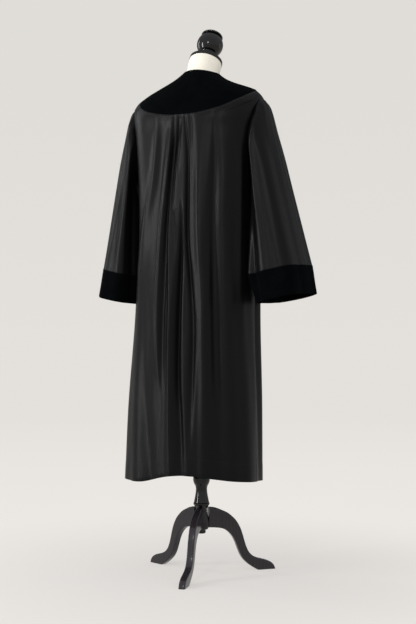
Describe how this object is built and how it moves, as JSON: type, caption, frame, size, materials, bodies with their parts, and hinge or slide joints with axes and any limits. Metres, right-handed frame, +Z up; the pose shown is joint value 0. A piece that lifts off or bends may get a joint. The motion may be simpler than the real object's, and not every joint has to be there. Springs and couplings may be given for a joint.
{
  "type": "prosecutor robe on a dress form",
  "caption": "Long black court robe with a velvet round yoke and velvet cuffs, back pleats and wide sleeves, hung on a cream dress form on a black turned tripod stand.",
  "frame": {"origin": "on the floor, under the middle of the whole part's box", "axes": "+Z up, the wearer looks along -Y, the wearer's left is +X"},
  "size_m": [0.7076, 0.4163, 1.6967],
  "materials": {
    "robe_cloth": "matte black wool blend",
    "velvet": "deep black velvet",
    "button": "plain polished black",
    "form_jersey": "cream jersey",
    "black_lacquer": "gloss black lacquer",
    "leg_lacquer": "black lacquer",
    "pole_steel": "satin dark steel"
  },
  "bodies": {
    "root": {"yoke": "velvet", "back": "robe_cloth", "front_left": "robe_cloth", "front_right": "robe_cloth", "sleeve_left": "robe_cloth", "sleeve_right": "robe_cloth", "cuff_left": "velvet", "cuff_right": "velvet", "button_1": "button", "button_2": "button", "button_3": "button", "button_4": "button", "button_5": "button", "form_torso": "form_jersey", "neck_cap": "black_lacquer", "knob": "black_lacquer", "pole": "pole_steel", "baluster": "black_lacquer", "hub": "black_lacquer", "leg_1": "leg_lacquer", "leg_2": "leg_lacquer", "leg_3": "leg_lacquer"}
  },
  "joints": []
}
